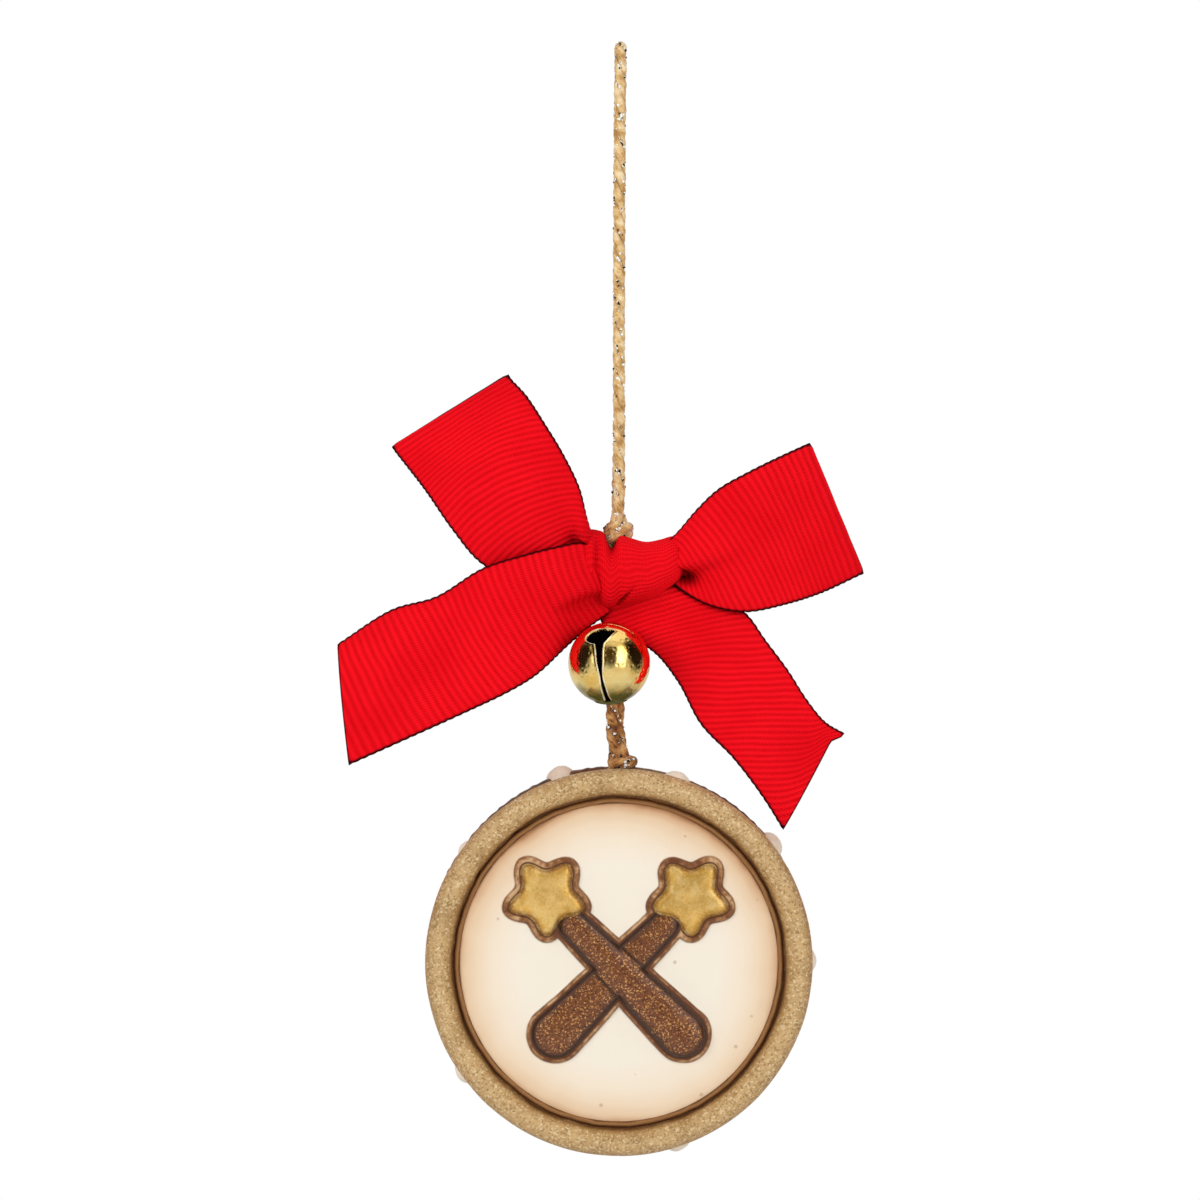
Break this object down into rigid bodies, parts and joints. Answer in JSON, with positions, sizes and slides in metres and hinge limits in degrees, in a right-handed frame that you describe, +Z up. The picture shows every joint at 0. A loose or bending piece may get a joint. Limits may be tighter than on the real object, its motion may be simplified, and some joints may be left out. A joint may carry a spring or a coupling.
{
  "type": "ceramic drum ornament",
  "caption": "Small hanging ornament: a round glazed ceramic drum with star-ended drumsticks in relief, on a braided gold cord with a jingle bell and a tied ribbon bow.",
  "frame": {"origin": "inside top of the cord loop, where a hook or twig carries the ornament", "axes": "+Z up along the cord, -Y out of the decorated drum head, +X to the right seen from the front"},
  "size_m": [0.0686, 0.0226, 0.1445],
  "materials": {
    "glazed_earthenware": "cream glaze with hand-painted antique gold rims, brown drumsticks and gold stars",
    "braided_gold_cord": "braided metallic gold yarn with a glitter thread",
    "plated_brass": "bright polished plating",
    "red_grosgrain": "ribbed woven ribbon, slightly silky"
  },
  "bodies": {
    "root": {"ceramic_drum": "glazed_earthenware", "hanging_cord": "braided_gold_cord", "jingle_bell": "plated_brass", "ribbon_bow": "red_grosgrain"}
  },
  "joints": []
}
